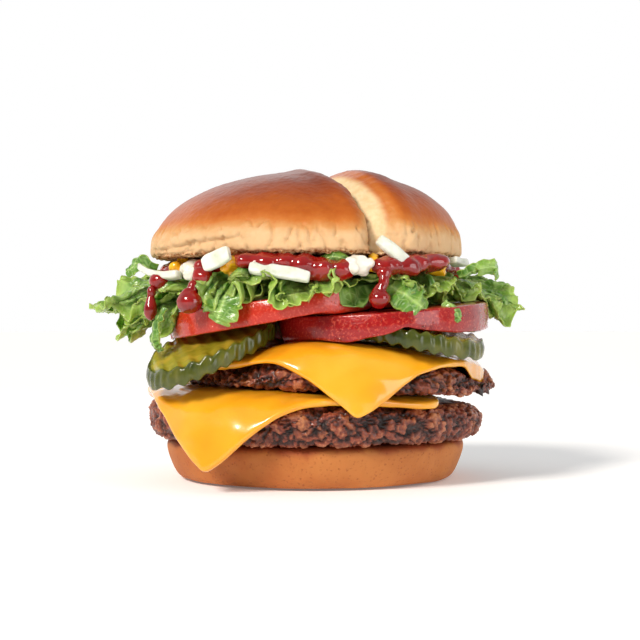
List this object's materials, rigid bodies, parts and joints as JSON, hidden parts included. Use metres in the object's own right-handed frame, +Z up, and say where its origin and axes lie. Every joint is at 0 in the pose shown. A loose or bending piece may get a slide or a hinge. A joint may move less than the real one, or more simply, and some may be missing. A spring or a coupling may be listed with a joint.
{
  "type": "double cheeseburger",
  "caption": "Cheeseburger with stacked beef patties, melted cheese, crinkle-cut pickles, tomato, lettuce, onion and sauces in a split-top bun.",
  "frame": {"origin": "middle of the heel's flat underside, on the surface the burger stands on", "axes": "+Z up through the stack, -Y towards the side that shows the hanging cheese corners, +X to its right"},
  "size_m": [0.1465, 0.1158, 0.1],
  "materials": {
    "bread_brown": "glazed, browned bread crust with a satin sheen",
    "bread_pale": "matt, finely pored bread crust",
    "beef": "coarse grilled minced beef, wet in the hollows",
    "cheddar": "glossy melted processed cheese",
    "pickle": "wet, slightly translucent pickled cucumber",
    "tomato": "wet raw tomato",
    "lettuce": "fresh leaf, soft waxy sheen",
    "ketchup": "very glossy wet sauce",
    "mustard": "glossy smooth sauce",
    "mayonnaise": "glossy smooth sauce",
    "onion": "wet, translucent raw onion"
  },
  "bodies": {
    "root": {"bun_crown": "bread_brown", "bun_heel": "bread_pale", "patty_lower": "beef", "patty_upper": "beef", "cheese_lower": "cheddar", "cheese_upper": "cheddar", "pickle_left": "pickle", "pickle_right": "pickle", "pickle_back_left": "pickle", "pickle_back_right": "pickle", "tomato_left": "tomato", "tomato_right": "tomato", "lettuce_left_low": "lettuce", "lettuce_front_low": "lettuce", "lettuce_left": "lettuce", "lettuce_front": "lettuce", "lettuce_front_right": "lettuce", "lettuce_right": "lettuce", "lettuce_back": "lettuce", "ketchup_bed": "ketchup", "ketchup_blob_left": "ketchup", "ketchup_drop_front_left": "ketchup", "ketchup_drop_left": "ketchup", "ketchup_drop_right": "ketchup", "mustard_left": "mustard", "mustard_front": "mustard", "mustard_front_right": "mustard", "mustard_right": "mustard", "mustard_back": "mustard", "mayonnaise_left": "mayonnaise", "mayonnaise_front": "mayonnaise", "mayonnaise_back": "mayonnaise", "onion_left": "onion", "onion_front_left": "onion", "onion_front": "onion", "onion_front_right": "onion", "onion_right": "onion", "onion_back_left": "onion", "onion_back_right": "onion"}
  },
  "joints": []
}
